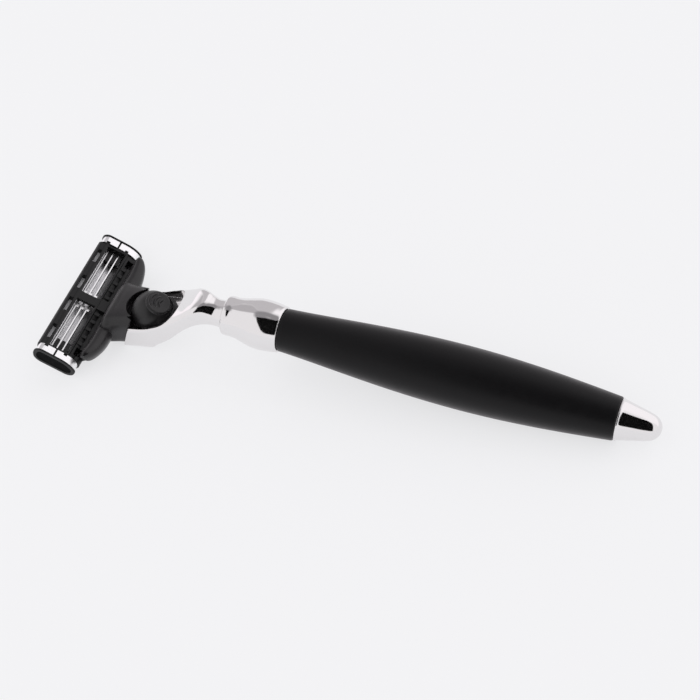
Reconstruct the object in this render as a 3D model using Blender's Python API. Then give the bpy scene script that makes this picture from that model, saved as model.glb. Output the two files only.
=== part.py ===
"""Cartridge razor with a turned grip, a cast head and a pivoting three-blade cartridge.

Lengths are in millimetres and are turned into metres when a mesh is made.
Three frames hold the design, all with +Y along the blades:
  handle frame  X along the grip towards the finial, Z towards the release button
  dock frame    the socket that the cartridge slides onto, X back towards the grip
  blade frame   S (X) from the cap strip to the guard, H (Z) out of the cartridge's back
"""
import math

import bmesh
import bpy
from mathutils import Matrix, Vector

MM = 0.001
ROUND = 40                      # sides of a large turned part
SMALL_ROUND = 20                # sides of a small turned part
FIT = 0.1                       # clearance between fitted pieces

# Where the frames stand
REST_PITCH = math.radians(4.4)  # the grip axis as the razor lies on its heel and grip
REST_X = -16.92
REST_Z = 12.2
DOCK_ORIGIN = (-37.0, 0.0, -10.0)
DOCK_SLOPE = math.radians(17.0)
BLADE_ORIGIN = (-55.05, 0.0, -10.4)
BLADE_TILT = math.radians(17.65)
PIVOT_S = 4.4                   # the cartridge's pivot in the blade frame
PIVOT_H = -1.6

# Grip, ferrule and finial
GRIP_LENGTH = 85.1
GRIP_BORE = 3.75
FERRULE_LENGTH = 15.3
SPIGOT_RADIUS = 3.6
SPIGOT_LENGTH = 6.0
STEM_RADIUS = 3.2
STEM_LENGTH = 10.0
ROD_RADIUS = 2.0
FINIAL_TIP = 95.7

# Head casting
CUP_HALF_WIDTH = 6.85
CUP_TOP = 4.2
CUP_BOTTOM = -4.1
CUP_POWER = 5.0
WALL_INNER = 6.1                # half the width of the opening round the button
OPENING_REAR = 9.8
OPENING_POWER = 3.2
OPENING_ROUND = 3.0             # where the opening's sides start to close in
FLOOR_DEEP = -3.2
POCKET_HALF = 5.55              # half the width of the deep pocket for the insert
FLOOR_SHALLOW = 1.6
SPLIT_POINT = (-2.05, 4.4)      # the slanted seam between casting and yoke, in the dock frame
SPLIT_LOW = (-6.6, -2.8)
SPLIT_GAP = 0.14

# Cartridge mount and mechanism, in the dock frame
NOSE_HALF_WIDTH = 5.0
NOSE_HALF_HEIGHT = 2.5
NOSE_UP = 1.3
NOSE_FRONT = -9.6
NOSE_STEP = -4.2
INSERT_FRONT = -3.1
INSERT_REAR = 3.8
INSERT_TOP = 1.5
PLUNGER_UP = 2.3
PLUNGER_TIP = -12.32
BUTTON_BACK = 1.62
BUTTON_UP = 2.88
BUTTON_RADIUS = 5.45
BUTTON_FRONT = -2.7             # flat front of the button's lower part
BUTTON_FRONT_TOP = 4.05
BUTTON_CUT = 1.75
SKIRT_HALF_WIDTH = 5.4
SKIRT_TOP = 2.5
PAD_LEAN = 42.0                 # thumb pad's tilt towards the grip, in degrees
PAD_RADIUS = 3.2
PAD_REACH = 5.05                # the pad's face from the dome's centre
PAD_DEPTH = 3.0
YOKE_LIP = 4.95                 # radius of the yoke's top rear edge round the button
YOKE_LIP_UNDER = 5.95
YOKE_RELIEF = 5.75              # radius of the hollow under that edge
BUTTON_ROOM = 1.35              # how far that edge and hollow reach ahead of the button
BUTTON_SPRING_Y = 3.2
BUTTON_SPRING_UP = 0.1

# Cartridge, in the blade frame
HALF_LENGTH = 20.75
FLANGE_INNER = 20.4
GROOVE_INNER = 18.15
WINDOW_CAP = -3.05
WINDOW_GUARD = 2.1
WINDOW_HALF = 17.6
RIB_HALF = 1.25
BAR_CHAMFER = -3.75             # where the cap bar's slope into the window begins
RIB_UNDER = 0.75
BACK_H = 1.75
SUPPORT_THICK = 0.3
BLADE_THICK = 0.1
BLADE_PITCH = 1.5
BLADE_FIRST = -2.7
BLADE_HALF = 17.4
BLADE_SLOPE = math.radians(25.0)
BLADE_COUNT = 3
CLEAR_RADIUS = 4.25             # everything on the yoke stays outside this round the pivot
STEM_IN = 14.6
STEM_OUT = 16.6
STEM_DIRECTION = 53.0
STEM_SWEEP = 44.0

for item in list(bpy.data.objects):
    bpy.data.objects.remove(item, do_unlink=True)


# ---------------------------------------------------------------- helpers

def material(name, colour, metallic, roughness):
    """Make a plain Principled material."""
    mat = bpy.data.materials.new(name)
    mat.use_nodes = True
    shader = mat.node_tree.nodes["Principled BSDF"]
    shader.inputs["Base Color"].default_value = (*colour, 1.0)
    shader.inputs["Metallic"].default_value = metallic
    shader.inputs["Roughness"].default_value = roughness
    return mat


def frame(name, location, pitch, parent=None):
    """Add an empty that holds a frame turned about Y."""
    empty = bpy.data.objects.new(name, None)
    bpy.context.collection.objects.link(empty)
    empty.location = Vector(location) * MM
    empty.rotation_euler = (0.0, pitch, 0.0)
    empty.parent = parent
    return empty


def finish(name, bm, parent, mat=None, offset=(0.0, 0.0, 0.0)):
    """Turn a bmesh in millimetres into an object; without a material it is a cutter."""
    bmesh.ops.remove_doubles(bm, verts=bm.verts, dist=1e-5)
    bmesh.ops.dissolve_degenerate(bm, dist=1e-5, edges=bm.edges)
    bmesh.ops.recalc_face_normals(bm, faces=bm.faces)
    bmesh.ops.scale(bm, vec=(MM, MM, MM), verts=bm.verts)
    mesh = bpy.data.meshes.new(name)
    bm.to_mesh(mesh)
    bm.free()
    obj = bpy.data.objects.new(name, mesh)
    bpy.context.collection.objects.link(obj)
    obj.parent = parent
    obj.location = Vector(offset) * MM
    if mat is None:
        obj.hide_render = True
        obj.display_type = "WIRE"
    else:
        mesh.materials.append(mat)
        mesh.shade_smooth()
        mesh.set_sharp_from_angle(angle=math.radians(35.0))
    return obj


def combine(target, other, operation):
    """Add a Boolean to target."""
    step = target.modifiers.new(other.name, "BOOLEAN")
    step.operation = operation
    step.solver = "EXACT"
    step.object = other


def turned(profile, sides, up=0.0, y=0.0):
    """Spin a closed outline of (x, radius) points about an axis along X."""
    bm = bmesh.new()
    verts = [bm.verts.new((x, y, up + r)) for x, r in profile]
    edges = [bm.edges.new((verts[i], verts[(i + 1) % len(verts)])) for i in range(len(verts))]
    bmesh.ops.spin(
        bm,
        geom=verts + edges,
        cent=(0.0, y, up),
        axis=(1.0, 0.0, 0.0),
        angle=2.0 * math.pi,
        steps=sides,
        use_merge=True,
    )
    return bm


def loft(rings):
    """Skin a list of equal rings of points and close both ends."""
    bm = bmesh.new()
    loops = [[bm.verts.new(p) for p in ring] for ring in rings]
    count = len(loops[0])
    for near, far in zip(loops, loops[1:]):
        for i in range(count):
            j = (i + 1) % count
            bm.faces.new((near[i], near[j], far[j], far[i]))
    bm.faces.new(loops[0])
    bm.faces.new(loops[-1])
    return bm


def prism(outline, start, end, plane="XZ"):
    """Extrude a 2-D outline along Y (plane XZ) or along Z (plane XY)."""
    if plane == "XZ":
        rings = [[(a, level, b) for a, b in outline] for level in (start, end)]
    else:
        rings = [[(a, b, level) for a, b in outline] for level in (start, end)]
    return loft(rings)


def boxes(spans):
    """Make separate boxes, each ((x0, x1), (y0, y1), (z0, z1))."""
    bm = bmesh.new()
    for (x0, x1), (y0, y1), (z0, z1) in spans:
        size = Matrix.Diagonal((x1 - x0, y1 - y0, z1 - z0, 1.0))
        place = Matrix.Translation(((x0 + x1) / 2, (y0 + y1) / 2, (z0 + z1) / 2))
        bmesh.ops.create_cube(bm, size=1.0, matrix=place @ size)
    return bm


def superellipse(half_width, half_height, power, count):
    """Points of |x/a|^n + |y/b|^n = 1."""
    points = []
    for i in range(count):
        turn = 2.0 * math.pi * i / count
        c, s = math.cos(turn), math.sin(turn)
        x = half_width * math.copysign(abs(c) ** (2.0 / power), c)
        y = half_height * math.copysign(abs(s) ** (2.0 / power), s)
        points.append((x, y))
    return points


def arc(centre, radius, start, end, steps):
    """Points on an arc, with angles in degrees."""
    points = []
    for i in range(steps + 1):
        turn = math.radians(start + (end - start) * i / steps)
        points.append((centre[0] + radius * math.cos(turn), centre[1] + radius * math.sin(turn)))
    return points


def inset(outline, depth):
    """Move every side of a convex outline inwards."""
    centre = Vector((0.0, 0.0))
    for point in outline:
        centre += Vector(point) / len(outline)
    lines = []
    for i, point in enumerate(outline):
        p, q = Vector(point), Vector(outline[(i + 1) % len(outline)])
        normal = Vector((q.y - p.y, p.x - q.x)).normalized()
        if normal.dot(centre - p) < 0.0:
            normal = -normal
        lines.append((p + normal * depth, q - p))
    result = []
    for i in range(len(lines)):
        (p, d), (q, e) = lines[i - 1], lines[i]
        along = ((q - p).x * e.y - (q - p).y * e.x) / (d.x * e.y - d.y * e.x)
        result.append(tuple(p + d * along))
    return result


def rounded(outline, radius, steps=3):
    """Round each corner of an outline with a quadratic curve."""
    result = []
    for i, point in enumerate(outline):
        here = Vector(point)
        before = Vector(outline[i - 1]) - here
        after = Vector(outline[(i + 1) % len(outline)]) - here
        reach = min(radius, before.length * 0.45, after.length * 0.45)
        start = here + before.normalized() * reach
        end = here + after.normalized() * reach
        for k in range(steps + 1):
            t = k / steps
            result.append(tuple(start * (1 - t) ** 2 + here * 2 * t * (1 - t) + end * t * t))
    return result


def coil(start, end, radius, wire, turns, up, y):
    """A round-wire compression spring along X."""
    steps = 12 * turns
    rings = []
    for i in range(steps + 1):
        part = i / steps
        turn = 2.0 * math.pi * turns * part
        outward = Vector((0.0, math.cos(turn), math.sin(turn)))
        centre = Vector((start + (end - start) * part, y, up)) + outward * radius
        ring = []
        for k in range(6):
            around = 2.0 * math.pi * k / 6
            ring.append(centre + outward * wire * math.cos(around)
                        + Vector((wire * math.sin(around), 0.0, 0.0)))
        rings.append(ring)
    return loft(rings)


# ---------------------------------------------------------------- materials and frames

CHROME = material("chrome", (0.86, 0.85, 0.85), 1.0, 0.08)
GRIP_BLACK = material("satin_black_grip", (0.02, 0.02, 0.022), 0.0, 0.42)
HEAD_BLACK = material("black_head_plastic", (0.03, 0.03, 0.033), 0.0, 0.38)
CARTRIDGE_BLACK = material("black_cartridge_plastic", (0.025, 0.025, 0.027), 0.0, 0.45)
CLIP_METAL = material("bright_clip", (0.9, 0.9, 0.9), 1.0, 0.18)
BLADE_STEEL = material("blade_steel", (0.75, 0.75, 0.76), 1.0, 0.25)
SPRING_STEEL = material("spring_steel", (0.55, 0.55, 0.56), 1.0, 0.3)
BRASS = material("brass", (0.78, 0.6, 0.3), 1.0, 0.35)
STRIP_GREY = material("lubricating_strip", (0.72, 0.72, 0.74), 0.0, 0.6)
GUARD_RUBBER = material("guard_rubber", (0.05, 0.05, 0.055), 0.0, 0.7)

handle = frame("handle_frame", (REST_X, 0.0, REST_Z), REST_PITCH)
dock = frame("dock_frame", DOCK_ORIGIN, -DOCK_SLOPE, handle)
blade_base = frame("blade_frame", BLADE_ORIGIN, BLADE_TILT, handle)
pivot = frame("pivot_frame", (PIVOT_S, 0.0, PIVOT_H), 0.0, blade_base)
FROM_PIVOT = (-PIVOT_S, 0.0, -PIVOT_H)


# ---------------------------------------------------------------- handle

def grip_radius(x):
    """The grip swells from its collar to its middle and narrows to the finial."""
    if x < 46.0:
        return 5.45 + 2.45 * math.sin(0.5 * math.pi * (x / 46.0)) ** 1.25
    return 7.9 - 2.67 * (1.0 - math.cos(0.5 * math.pi * (x - 46.0) / 42.5)) / 0.92


def make_handle():
    stations = 17
    outer = [(GRIP_LENGTH * i / stations, 0.0) for i in range(1, stations)]
    outer = [(x, grip_radius(x)) for x, _ in outer]
    profile = [(0.1, GRIP_BORE), (0.1, 5.3), (0.3, 5.45)] + outer
    profile += [(GRIP_LENGTH - 0.2, 5.25), (GRIP_LENGTH, 5.1), (GRIP_LENGTH, GRIP_BORE)]
    finish("grip_barrel", turned(profile, ROUND), handle, GRIP_BLACK)

    curve = [(0.0, 5.8), (-0.7, 5.95), (-2.3, 6.2), (-4.6, 6.4), (-6.9, 6.32), (-9.2, 5.82)]
    curve += [(-11.5, 5.24), (-13.1, 5.04), (-14.5, 5.06), (-15.1, 4.85)]
    profile = [(SPIGOT_LENGTH, ROD_RADIUS + 0.15), (SPIGOT_LENGTH, SPIGOT_RADIUS)]
    profile += [(0.0, SPIGOT_RADIUS)] + curve
    profile += [(-FERRULE_LENGTH, 4.4), (-FERRULE_LENGTH, STEM_RADIUS + FIT)]
    stem_end = -FERRULE_LENGTH + STEM_LENGTH + 0.3
    profile += [(stem_end, STEM_RADIUS + FIT), (stem_end, ROD_RADIUS + 0.15)]
    finish("ferrule", turned(profile, ROUND), handle, CHROME)

    base = GRIP_LENGTH + FIT
    profile = [(base + 5.5, 0.0), (base + 5.5, ROD_RADIUS + 0.15)]
    profile += [(base - SPIGOT_LENGTH, ROD_RADIUS + 0.15), (base - SPIGOT_LENGTH, SPIGOT_RADIUS)]
    profile += [(base, SPIGOT_RADIUS), (base, 5.25), (base + 0.45, 5.3), (base + 0.6, 5.05)]
    profile += [(base + 4.0, 4.25), (base + 7.3, 3.45), (base + 8.9, 2.85), (base + 9.9, 1.9)]
    profile += [(FINIAL_TIP - 0.1, 0.9), (FINIAL_TIP, 0.0)]
    finish("finial", turned(profile, ROUND), handle, CHROME)

    rod_start, rod_end = -8.5, base + 5.2
    profile = [(rod_start, 0.0), (rod_start, ROD_RADIUS - 0.3), (rod_start + 0.4, ROD_RADIUS)]
    profile += [(rod_end - 0.4, ROD_RADIUS), (rod_end, ROD_RADIUS - 0.3), (rod_end, 0.0)]
    finish("tie_rod", turned(profile, SMALL_ROUND), handle, SPRING_STEEL)

    for name, start in (("front_bush", SPIGOT_LENGTH + 0.3), ("rear_bush", 70.5)):
        profile = [(start, ROD_RADIUS + FIT), (start, GRIP_BORE - 0.15)]
        profile += [(start + 8.0, GRIP_BORE - 0.15), (start + 8.0, ROD_RADIUS + FIT)]
        finish(name, turned(profile, SMALL_ROUND), handle, BRASS)

    ring = rounded(arc((0.0, 0.0), 3.3, 0.0, 300.0, 5), 0.2, 1)
    start = 66.8
    rings = [[(x, p, q) for p, q in ring] for x in (start, start + 3.0)]
    nut = finish("rod_nut", loft(rings), handle, SPRING_STEEL)
    bore = [(start - 1.0, 0.0), (start - 1.0, ROD_RADIUS + FIT)]
    bore += [(start + 4.0, ROD_RADIUS + FIT), (start + 4.0, 0.0)]
    combine(nut, finish("rod_nut_bore", turned(bore, SMALL_ROUND), handle), "DIFFERENCE")


# ---------------------------------------------------------------- head casting

def upright_ring(x, top, bottom, half_width, power):
    """A ring of the neck in a plane across the handle frame's X."""
    middle, half = (top + bottom) / 2, (top - bottom) / 2
    return [(x, p, middle + q) for p, q in superellipse(half_width, half, power, ROUND)]


def dock_point(x, y, z):
    """Carry a point of the dock frame into the handle frame."""
    c, s = math.cos(DOCK_SLOPE), math.sin(DOCK_SLOPE)
    return (DOCK_ORIGIN[0] + x * c - z * s, y, DOCK_ORIGIN[2] + x * s + z * c)


def dock_ring(x, top, bottom, half_width, power):
    """A ring of the cup across the dock frame's X, in the handle frame."""
    middle, half = (top + bottom) / 2, (top - bottom) / 2
    outline = superellipse(half_width, half, power, ROUND)
    return [dock_point(x, p, middle + q) for p, q in outline]


def seam_block(name, side, gap):
    """A block on one side of the slanted seam between casting and yoke."""
    p, q = Vector(SPLIT_POINT), Vector(SPLIT_LOW)
    along = (q - p).normalized()
    across = Vector((along.y, -along.x)) * side
    start = p - along * 30.0 + across * gap
    end = q + along * 30.0 + across * gap
    outline = [tuple(start), tuple(end), tuple(end + across * 40.0), tuple(start + across * 40.0)]
    return finish(name, prism(outline, -30.0, 30.0), dock)


def opening_outline():
    """Plan of the opening round the button: straight sides and a closing rear end."""
    points = [(-14.0, -WALL_INNER)]
    steps = 14
    for i in range(steps + 1):
        turn = -0.5 * math.pi + math.pi * i / steps
        c, s = math.cos(turn), math.sin(turn)
        reach = OPENING_REAR - OPENING_ROUND
        x = OPENING_ROUND + reach * abs(c) ** (2.0 / OPENING_POWER)
        points.append((x, WALL_INNER * math.copysign(abs(s) ** (2.0 / OPENING_POWER), s)))
    points.append((-14.0, WALL_INNER))
    return points


def make_head():
    stem_end = -FERRULE_LENGTH + STEM_LENGTH
    neck_start = -FERRULE_LENGTH - FIT
    rings = [
        upright_ring(stem_end, STEM_RADIUS, -STEM_RADIUS, STEM_RADIUS, 2.0),
        upright_ring(neck_start, STEM_RADIUS, -STEM_RADIUS, STEM_RADIUS, 2.0),
        upright_ring(neck_start, 3.95, -3.95, 3.95, 2.0),
        upright_ring(-16.6, 3.65, -3.65, 3.65, 2.0),
        upright_ring(-17.9, 3.5, -3.45, 3.45, 2.0),
        upright_ring(-19.4, 3.75, -3.3, 3.65, 2.0),
        upright_ring(-21.0, 4.0, -3.2, 4.05, 2.2),
        upright_ring(-22.8, 3.5, -3.5, 4.7, 2.4),
        upright_ring(-24.7, 2.2, -4.6, 5.3, 2.7),
        upright_ring(-26.8, 0.5, -6.5, 5.85, 3.0),
        upright_ring(-28.9, -1.0, -8.9, 6.25, 3.6),
        upright_ring(-31.0, -2.2, -10.9, 6.5, 4.1),
        upright_ring(-33.0, -3.3, -12.5, 6.7, 4.5),
        dock_ring(2.0, CUP_TOP, CUP_BOTTOM, CUP_HALF_WIDTH, CUP_POWER),
        dock_ring(-2.0, CUP_TOP, CUP_BOTTOM, CUP_HALF_WIDTH, CUP_POWER),
        dock_ring(-9.5, CUP_TOP, CUP_BOTTOM, CUP_HALF_WIDTH, CUP_POWER),
    ]
    head = finish("head_casting", loft(rings), handle, CHROME)
    combine(head, seam_block("head_front_cut", 1.0, -SPLIT_GAP / 2), "DIFFERENCE")
    opening = finish("head_opening", prism(opening_outline(), FLOOR_SHALLOW, 12.0, "XY"), dock)
    combine(head, opening, "DIFFERENCE")
    deep = boxes([((-14.0, 4.0), (-POCKET_HALF, POCKET_HALF), (FLOOR_DEEP, 3.0))])
    combine(head, finish("head_deep_pocket", deep, dock), "DIFFERENCE")
    bore_end = -9.5
    profile = [(bore_end, 0.0), (bore_end, ROD_RADIUS + FIT)]
    profile += [(stem_end + 1.0, ROD_RADIUS + FIT), (stem_end + 1.0, 0.0)]
    combine(head, finish("head_rod_bore", turned(profile, SMALL_ROUND), handle), "DIFFERENCE")
    ground = boxes([((-200.0, 200.0), (-50.0, 50.0), (-20.0, 0.0))])
    combine(head, finish("rest_plane", ground, None), "DIFFERENCE")

    screw_at = 8.8
    low, high = FLOOR_SHALLOW + FIT, 3.1
    bm = bmesh.new()
    bmesh.ops.create_cone(
        bm,
        cap_ends=True,
        segments=SMALL_ROUND,
        radius1=0.8,
        radius2=0.7,
        depth=high - low,
        matrix=Matrix.Translation((screw_at, 0.0, (low + high) / 2)),
    )
    screw = finish("button_stop_screw", bm, dock, SPRING_STEEL)
    slot = boxes([((screw_at - 0.2, screw_at + 0.2), (-2.0, 2.0), (2.7, 4.0))])
    combine(screw, finish("button_stop_slot", slot, dock), "DIFFERENCE")


# ---------------------------------------------------------------- insert, button and plunger

def nose_ring(x, half_width, half_height):
    outline = superellipse(half_width, half_height, 4.0, 32)
    return [(x, p, NOSE_UP + q) for p, q in outline]


def make_insert():
    half = POCKET_HALF - FIT
    spans = [((INSERT_FRONT, INSERT_REAR), (-half, half), (FLOOR_DEEP + FIT, INSERT_TOP))]
    insert = finish("nose_insert", boxes(spans), dock, HEAD_BLACK)
    nose = loft([
        nose_ring(NOSE_STEP, NOSE_HALF_WIDTH, NOSE_HALF_HEIGHT),
        nose_ring(NOSE_FRONT + 0.5, NOSE_HALF_WIDTH - 0.1, NOSE_HALF_HEIGHT - 0.05),
        nose_ring(NOSE_FRONT, NOSE_HALF_WIDTH - 0.5, NOSE_HALF_HEIGHT - 0.4),
    ])
    combine(insert, finish("nose_body", nose, dock), "UNION")
    low = NOSE_UP - NOSE_HALF_HEIGHT + 0.15
    link = boxes([((NOSE_STEP - 1.0, INSERT_FRONT + 1.0), (-4.6, 4.6), (low, INSERT_TOP - 0.1))])
    combine(insert, finish("nose_link", link, dock), "UNION")

    profile = [(-4.5, 0.0), (-4.5, 0.95), (-8.9, 0.95), (-8.9, 0.65), (-11.0, 0.65), (-11.0, 0.0)]
    bore = finish("plunger_bore", turned(profile, SMALL_ROUND, PLUNGER_UP), dock)
    combine(insert, bore, "DIFFERENCE")
    for side, y in (("left", -BUTTON_SPRING_Y), ("right", BUTTON_SPRING_Y)):
        profile = [(-2.8, 0.0), (-2.8, 0.9), (2.0, 0.9), (2.0, 0.0)]
        tunnel = turned(profile, 16, BUTTON_SPRING_UP, y)
        combine(insert, finish("spring_bore_" + side, tunnel, dock), "DIFFERENCE")
        slot = boxes([((0.6, 3.2), (y - 0.65, y + 0.65), (-0.9, 3.0))])
        combine(insert, finish("leg_slot_" + side, slot, dock), "DIFFERENCE")
        spring = coil(-2.6, 1.95, 0.62, 0.12, 6, BUTTON_SPRING_UP, y)
        finish("button_spring_" + side, spring, dock, SPRING_STEEL)

    finish("plunger_spring", coil(-4.75, -7.75, 0.66, 0.11, 5, PLUNGER_UP, 0.0), dock, SPRING_STEEL)
    profile = [(-6.8, 0.0), (-6.8, 0.4), (-8.0, 0.4), (-8.0, 0.85), (-8.8, 0.85), (-8.8, 0.55)]
    tip = [(PLUNGER_TIP + 0.55 - x, r) for x, r in arc((0.0, 0.0), 0.55, 90.0, 0.0, 3)]
    plunger = turned(profile + tip, 16, PLUNGER_UP)
    finish("plunger", plunger, dock, HEAD_BLACK)


def crescent(centre, radius, offset, half_angle):
    """A crescent that bulges forwards, between two arcs of one radius."""
    front = arc(centre, radius, 180.0 - half_angle, 180.0 + half_angle, 8)
    back = arc((centre[0] + offset, centre[1]), radius, 180.0 + half_angle, 180.0 - half_angle, 8)
    return front + back[1:-1]


def make_button():
    bm = bmesh.new()
    place = Matrix.Translation((BUTTON_BACK, 0.0, BUTTON_UP))
    bmesh.ops.create_uvsphere(bm, u_segments=28, v_segments=16, radius=BUTTON_RADIUS, matrix=place)
    button = finish("release_button", bm, dock, HEAD_BLACK)
    skirt = superellipse(5.5, SKIRT_HALF_WIDTH, 2.6, 28)
    skirt = prism([(x + 2.2, y) for x, y in skirt], BUTTON_CUT, SKIRT_TOP, "XY")
    combine(button, finish("button_skirt", skirt, dock), "UNION")

    lean = Matrix.Rotation(math.radians(PAD_LEAN), 4, "Y")
    lean = place @ lean @ Matrix.Translation((0.0, 0.0, PAD_REACH - PAD_DEPTH / 2))
    bm = bmesh.new()
    bmesh.ops.create_cone(
        bm,
        cap_ends=True,
        segments=28,
        radius1=PAD_RADIUS + 0.15,
        radius2=PAD_RADIUS,
        depth=PAD_DEPTH,
        matrix=lean,
    )
    combine(button, finish("button_pad", bm, dock), "UNION")
    bm = bmesh.new()
    bmesh.ops.create_cone(
        bm,
        cap_ends=True,
        segments=28,
        radius1=PAD_RADIUS - 0.3,
        radius2=PAD_RADIUS - 0.2,
        depth=PAD_DEPTH,
        matrix=lean @ Matrix.Translation((0.0, 0.0, PAD_DEPTH - 0.12)),
    )
    combine(button, finish("button_dish", bm, dock), "DIFFERENCE")
    bm = bmesh.new()
    face = PAD_DEPTH / 2
    for centre, radius in ((0.3, 2.75), (1.1, 2.2), (1.7, 1.5)):
        ridge = prism(crescent((centre, 0.0), radius, 0.55, 52.0), face - 0.2, face + 0.3, "XY")
        bmesh.ops.transform(ridge, matrix=lean, verts=ridge.verts)
        copy = bpy.data.meshes.new("ridge")
        ridge.to_mesh(copy)
        ridge.free()
        bm.from_mesh(copy)
        bpy.data.meshes.remove(copy)
    combine(button, finish("button_ridges", bm, dock), "UNION")

    lower = [((-12.0, 16.0), (-12.0, 12.0), (-12.0, BUTTON_CUT))]
    combine(button, finish("button_lower_cut", boxes(lower), dock), "DIFFERENCE")
    front = [((-12.0, BUTTON_FRONT), (-12.0, 12.0), (-11.0, BUTTON_FRONT_TOP))]
    combine(button, finish("button_front_cut", boxes(front), dock), "DIFFERENCE")
    legs = []
    for y in (-BUTTON_SPRING_Y, BUTTON_SPRING_Y):
        legs.append(((2.2, 3.0), (y - 0.5, y + 0.5), (-0.7, BUTTON_CUT + 0.8)))
    combine(button, finish("button_legs", boxes(legs), dock), "UNION")


# ---------------------------------------------------------------- yoke

def pivot_offset(angle, reach, side):
    """A point beside a ray from the pivot, in the blade frame."""
    turn = math.radians(angle)
    s = PIVOT_S + reach * math.cos(turn) - side * math.sin(turn)
    return (s, PIVOT_H + reach * math.sin(turn) + side * math.cos(turn))


def make_yoke():
    sections = ((0.6, 6.2, -3.4, 6.5), (-4.0, 6.35, -3.3, 7.1), (-7.0, 6.5, -2.75, 7.55))
    sections += ((-9.0, 6.45, -2.2, 8.2), (-10.4, 5.4, -1.9, 8.45))
    rings = []
    for x, top, bottom, half_width in sections:
        outline = superellipse(half_width, (top - bottom) / 2, 4.0, 36)
        rings.append([(x, p, (top + bottom) / 2 + q) for p, q in outline])
    yoke = finish("yoke", loft(rings), dock, HEAD_BLACK)

    arm = ((0.0, 7.7, 1.5, 2.3, 2.7), (8.0, 7.6, 1.5, 2.35, 2.7), (11.5, 7.55, 1.6, 2.2, 2.6))
    arm += ((15.0, 7.0, 1.9, 1.8, 2.3), (16.8, 6.4, 2.1, 1.3, 2.0), (17.6, 6.1, 2.3, 0.7, 1.3))
    stations = [(-y, s, h, rs, rh) for y, s, h, rs, rh in reversed(arm[1:])] + list(arm)
    rings = []
    for y, s, h, rs, rh in stations:
        rings.append([(s + p, y, h + q) for p, q in superellipse(rs, rh, 2.4, 20)])
    combine(yoke, finish("yoke_arms", loft(rings), pivot, offset=FROM_PIVOT), "UNION")

    relief = prism(superellipse(CLEAR_RADIUS, CLEAR_RADIUS, 2.0, 48), -19.0, 19.0)
    combine(yoke, finish("yoke_pivot_relief", relief, pivot), "DIFFERENCE")
    combine(yoke, seam_block("yoke_rear_cut", -1.0, -SPLIT_GAP / 2), "DIFFERENCE")
    hollows = (("yoke_button_relief", YOKE_RELIEF, -6.0, YOKE_LIP_UNDER),
               ("yoke_lip_relief", YOKE_LIP, 4.6, 9.0))
    for name, radius, low, high in hollows:
        front = arc((BUTTON_BACK - BUTTON_ROOM, 0.0), radius, 90.0, 270.0, 24)
        outline = front + [(12.0, -radius), (12.0, radius)]
        combine(yoke, finish(name, prism(outline, low, high, "XY"), dock), "DIFFERENCE")
    wide, tall = NOSE_HALF_WIDTH + 0.12, NOSE_HALF_HEIGHT + 0.12
    socket = loft([nose_ring(0.0, wide, tall), nose_ring(NOSE_FRONT - 0.15, wide, tall)])
    combine(yoke, finish("yoke_socket", socket, dock), "DIFFERENCE")
    profile = [(-8.0, 0.0), (-8.0, 0.75), (-12.0, 0.75), (-12.0, 0.0)]
    hole = turned(profile, SMALL_ROUND, PLUNGER_UP)
    combine(yoke, finish("yoke_plunger_hole", hole, dock), "DIFFERENCE")

    stem = [pivot_offset(STEM_DIRECTION, 4.75, -0.65), pivot_offset(STEM_DIRECTION, 4.75, 0.65)]
    stem += arc((PIVOT_S, PIVOT_H), 1.0, STEM_DIRECTION + 40.5, STEM_DIRECTION + 319.5, 18)
    for side in (-1, 1):
        span = sorted((side * STEM_IN, side * STEM_OUT))
        name = "yoke_stem_left" if side < 0 else "yoke_stem_right"
        post = finish(name, prism(stem, span[0], span[1]), pivot, offset=FROM_PIVOT)
        combine(yoke, post, "UNION")


# ---------------------------------------------------------------- cartridge

def flange_outline():
    """End view of the cartridge: a long oval, a little fuller on the cap side."""
    corners = [(-4.3, 2.75), (2.3, 2.2), (4.4, 1.4), (6.03, -0.1), (5.45, -2.4), (3.9, -3.25)]
    return corners + [(-4.2, -2.75), (-5.6, -1.9), (-6.03, -0.3), (-5.75, 1.7)]


def body_outline():
    """Cross-section of the cartridge body between its clips."""
    corners = [(-5.3, BACK_H), (2.6, BACK_H), (2.8, 0.6), (5.2, 0.6), (5.9, -0.2), (5.9, -1.4)]
    return corners + [(5.2, -2.7), (3.9, -3.0), (-4.2, -2.5), (-5.5, -1.7), (-5.95, -0.5),
                      (-5.95, 1.1)]


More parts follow.
